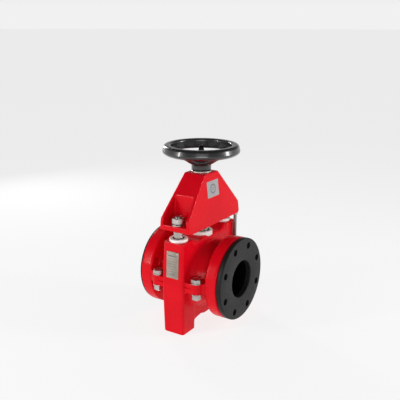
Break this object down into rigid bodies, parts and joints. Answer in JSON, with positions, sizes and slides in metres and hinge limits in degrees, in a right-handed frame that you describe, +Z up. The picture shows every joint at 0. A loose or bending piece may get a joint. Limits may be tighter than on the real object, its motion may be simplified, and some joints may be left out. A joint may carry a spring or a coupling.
{
  "type": "manual pinch valve",
  "caption": "Flanged rubber-sleeve pinch valve closed from both sides by a handwheel, a screw spindle, a rising yoke on tie rods and a pair of pinch bars.",
  "frame": {"origin": "on the spindle axis, at the underside of the feet, below the middle of the bore", "axes": "+X along the pipe towards the outlet, +Y across the pipe through the tie rods, +Z up the screw spindle to the handwheel"},
  "size_m": [0.254, 0.277, 0.4835],
  "materials": {
    "cast_red": "satin enamel over a sand casting",
    "rubber": "matt moulded rubber",
    "gasket": "matt sheet",
    "zinc": "bright zinc plate",
    "steel": "ground steel",
    "bronze": "machined bronze",
    "white_plastic": "turned polymer",
    "seal": "matt",
    "wheel_black": "gloss powder coat",
    "plate_metal": "brushed",
    "label_white": "printed film"
  },
  "bodies": {
    "body": {"body_upper": "cast_red", "body_lower": "cast_red", "body_gasket": "gasket", "sleeve_flange_inlet": "rubber", "sleeve_flange_outlet": "rubber", "sleeve_tube": "rubber", "rod_bush_front": "white_plastic", "rod_bush_rear": "white_plastic", "rod_wipers": "seal", "stem_bush": "white_plastic", "stem_wiper": "seal", "bottom_plugs": "zinc", "ear_bolts": "zinc", "ear_nuts": "zinc", "ear_washers": "zinc", "nameplate": "plate_metal", "nameplate_rivets": "plate_metal"},
    "yoke_frame": {"yoke": "cast_red", "tie_rod_front": "zinc", "tie_rod_rear": "zinc", "rod_top_washers": "zinc", "rod_top_nuts": "zinc", "rod_bottom_washers": "zinc", "rod_bottom_nuts": "zinc", "lower_pinch_bar": "steel", "spindle_bush": "bronze", "thrust_bearing_lower": "steel", "thrust_bearing_upper": "steel", "bearing_cover": "steel", "label_plate": "label_white", "indicator_rod": "steel", "indicator_locknut": "zinc"},
    "upper_bar": {"upper_pinch_bar": "steel", "stem_tube": "steel", "stem_nut": "bronze"},
    "handwheel": {"handwheel": "wheel_black", "spindle": "steel", "hub_key": "steel", "hub_washer": "zinc", "hub_nut": "zinc"}
  },
  "joints": [
    {"name": "yoke_slide", "type": "slide", "parent": "body", "child": "yoke_frame", "axis": [0, 0, 1], "range_m": [0, 0.05025], "deforming": ["sleeve_tube"]},
    {"name": "upper_bar_slide", "type": "slide", "parent": "body", "child": "upper_bar", "axis": [0, 0, -1], "range_m": [0, 0.05025]},
    {"name": "handwheel_turn", "type": "hinge", "parent": "yoke_frame", "child": "handwheel", "pos_m": [0, 0, 0.471], "axis": [0, 0, -1], "range_deg": [0, 7236]}
  ],
  "couplings": [
    {"joint": "handwheel_turn", "follows": "yoke_slide", "rad_per_m": 2513.3},
    {"joint": "upper_bar_slide", "follows": "yoke_slide", "ratio": 1}
  ]
}
